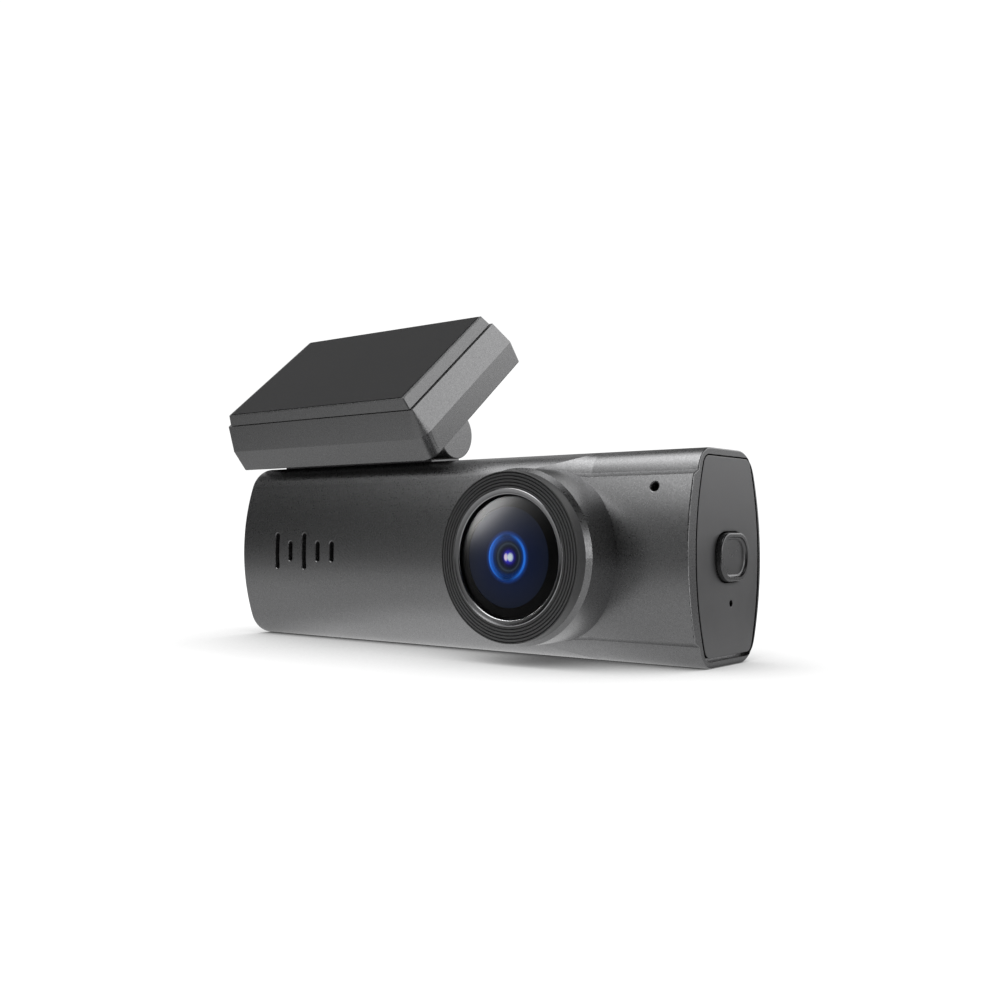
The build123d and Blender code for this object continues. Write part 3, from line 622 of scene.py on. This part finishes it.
def studio_floor():
    """A table that glows near the object, and looks plain white to the camera out to the horizon, with a
    painted shadow round the object.
    """
    bpy.ops.mesh.primitive_plane_add(size=60.0, location=(0, 0, 0))
    floor = bpy.context.object
    floor.name = "floor"
    table = Shader("floor")
    table.set(Base_Color=(0.2, 0.2, 0.2, 1), Roughness=1.0, Specular_IOR_Level=0.0)
    table.set(Emission_Color=(1, 1, 1, 1))
    place = table.node("ShaderNodeVectorMath", operation="MULTIPLY")
    place.inputs[1].default_value = (0.5, 1, 0)
    table.link(table.place, place.inputs[0])
    distance = table.node("ShaderNodeVectorMath", operation="LENGTH")
    table.link(place.outputs["Vector"], distance.inputs[0])
    stops = [(reach, (level, level, level)) for reach, level in FLOOR_GLOW]
    glow = table.ramp(distance.outputs["Value"], stops)
    # painted shadow: the camera sees the floor darkened round the object by ambient occlusion
    near = table.node("ShaderNodeAmbientOcclusion", samples=8)
    near.inputs["Distance"].default_value = FLOOR_SHADE_REACH
    white_with_painted_shadow = table.spread(near.outputs["AO"], 0, WHITE_SEEN, 0, 1)
    path = table.node("ShaderNodeLightPath")
    mix = table.node("ShaderNodeMix")
    table.link(path.outputs["Is Camera Ray"], mix.inputs["Factor"])
    table.link(glow, mix.inputs["A"])
    table.link(white_with_painted_shadow, mix.inputs["B"])
    table.link(mix.outputs["Result"], table.surface.inputs["Emission Strength"])
    floor.data.materials.append(table.material)


def studio_dome():
    """Soft round lights far away, on a background that the camera sees as plain white."""
    world = bpy.data.worlds.new("studio")
    bpy.context.scene.world = world
    world.use_nodes = True
    tree = world.node_tree
    light = tree.nodes["Background"]
    white = tree.nodes.new("ShaderNodeBackground")
    white.inputs["Color"].default_value = (1, 1, 1, 1)
    white.inputs["Strength"].default_value = WHITE_SEEN
    outwards = tree.nodes.new("ShaderNodeTexCoord").outputs["Generated"]
    total = None
    for azimuth, elevation, reach, radiance in LIGHTS:
        aim = tree.nodes.new("ShaderNodeVectorMath")
        aim.operation = "DOT_PRODUCT"
        aim.inputs[1].default_value = direction(azimuth, elevation)
        tree.links.new(outwards, aim.inputs[0])
        fade = tree.nodes.new("ShaderNodeMapRange")
        fade.interpolation_type = "SMOOTHSTEP"
        fade.inputs["From Min"].default_value = math.cos(math.radians(reach))
        fade.inputs["From Max"].default_value = 1.0
        fade.inputs["To Min"].default_value = 0.0
        fade.inputs["To Max"].default_value = radiance
        tree.links.new(aim.outputs["Value"], fade.inputs["Value"])
        if total:
            add = tree.nodes.new("ShaderNodeMath")
            tree.links.new(total, add.inputs[0])
            tree.links.new(fade.outputs["Result"], add.inputs[1])
            total = add.outputs["Value"]
        else:
            total = fade.outputs["Result"]
    light.inputs["Color"].default_value = (1, 1, 1, 1)
    tree.links.new(total, light.inputs["Strength"])
    path = tree.nodes.new("ShaderNodeLightPath")
    mix = tree.nodes.new("ShaderNodeMixShader")
    tree.links.new(path.outputs["Is Camera Ray"], mix.inputs["Fac"])
    tree.links.new(light.outputs["Background"], mix.inputs[1])
    tree.links.new(white.outputs["Background"], mix.inputs[2])
    tree.links.new(mix.outputs["Shader"], tree.nodes["World Output"].inputs["Surface"])


def glass_light(receiver):
    """A softbox high on the left that lights only the cover glass."""
    away = direction(GLASS_LIGHT_AZIMUTH, GLASS_LIGHT_ELEVATION)
    lamp = bpy.data.lights.new("glass_light", "AREA")
    lamp.shape = "DISK"
    lamp.size = GLASS_LIGHT_SIZE
    lamp.energy = GLASS_LIGHT_RADIANCE * math.pi ** 2 * (GLASS_LIGHT_SIZE / 2) ** 2
    place = bpy.data.objects.new("glass_light", lamp)
    place.location = Vector((LENS_X, 0, LENS_Z)) + away * GLASS_LIGHT_AWAY
    place.rotation_euler = away.to_track_quat("Z", "Y").to_euler()
    bpy.context.scene.collection.objects.link(place)
    only = bpy.data.collections.new("glass_only")
    only.objects.link(receiver)
    place.light_linking.receiver_collection = only


def studio_camera():
    """A camera low over the floor, in front and to the button's side, looking very slightly up."""
    turn = math.radians(CAMERA_AZIMUTH)
    right = Vector((math.cos(turn), math.sin(turn), 0))
    back = direction(CAMERA_AZIMUTH, CAMERA_ELEVATION)
    up = back.cross(right)
    lens = bpy.data.cameras.new("camera")
    lens.lens = CAMERA_LENS
    lens.sensor_width = CAMERA_SENSOR
    lens.clip_start = 0.005
    lens.clip_end = 200.0
    camera = bpy.data.objects.new("camera", lens)
    turned_to = Matrix((right, up, back)).transposed().to_4x4()
    camera.matrix_world = Matrix.Translation(CAMERA_PLACE) @ turned_to
    bpy.context.scene.collection.objects.link(camera)
    bpy.context.scene.camera = camera
    bpy.context.scene.view_settings.view_transform = "Standard"


# ------------------------------------------------------------------ making

studio_camera()
studio_dome()
studio_floor()

finishes = make_finishes()
finish_cad_nodes(finishes)
groove_ring(finishes)
bezel_ring(finishes)
glass_light(cover_dome(finishes))
black_border(finishes)
lens_face(finishes)
